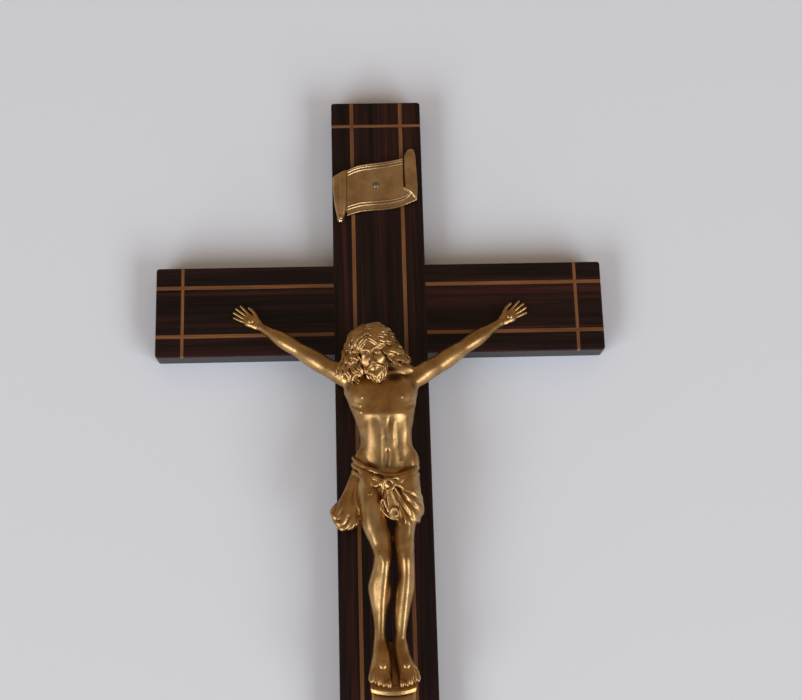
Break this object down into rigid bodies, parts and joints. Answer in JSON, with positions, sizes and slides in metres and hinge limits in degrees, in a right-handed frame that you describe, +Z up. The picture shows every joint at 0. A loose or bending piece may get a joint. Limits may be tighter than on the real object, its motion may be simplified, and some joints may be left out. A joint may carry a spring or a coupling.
{
  "type": "wall crucifix",
  "caption": "Wall crucifix: half-lapped dark hardwood cross with light stringing, gilt cast figure nailed on, footrest, bare title scroll and a strap hanger behind.",
  "frame": {"origin": "on the back face of the cross, at the centre of the crossing", "axes": "+Z up along the upright, +X to the viewer's right along the crossbar, +Y into the wall"},
  "size_m": [0.133, 0.029, 0.2499],
  "materials": {
    "rosewood": "waxed dark hardwood with red streaks",
    "boxwood": "pale stringing, flush and polished with the bars",
    "gilt_casting": "gilt casting, darker in its hollows",
    "steel_pin": "bare steel, dulled",
    "hanger_brass": "plain rolled brass, dulled"
  },
  "bodies": {
    "cross": {"upright": "rosewood", "crossbar": "rosewood", "upright_string_left": "boxwood", "upright_string_right": "boxwood", "crossbar_string_upper_left": "boxwood", "crossbar_string_upper_right": "boxwood", "crossbar_string_lower_left": "boxwood", "crossbar_string_lower_right": "boxwood", "end_string_top": "boxwood", "end_string_bottom": "boxwood", "end_string_left": "boxwood", "end_string_right": "boxwood", "corpus_body": "gilt_casting", "corpus_arm_left": "gilt_casting", "corpus_arm_right": "gilt_casting", "footrest": "gilt_casting", "title_scroll": "gilt_casting", "hand_nail_left": "gilt_casting", "hand_nail_right": "gilt_casting", "foot_nail_left": "gilt_casting", "foot_nail_right": "gilt_casting", "title_pin": "steel_pin", "hanger_strap": "hanger_brass", "hanger_pin_upper": "hanger_brass", "hanger_pin_lower": "hanger_brass"},
    "loop": {"hanger_loop": "hanger_brass"}
  },
  "joints": [
    {"name": "loop_swing", "type": "hinge", "parent": "cross", "child": "loop", "pos_m": [0, 0.00143, 0.04475], "axis": [1, 0, 0], "range_deg": [-2, 182]}
  ]
}
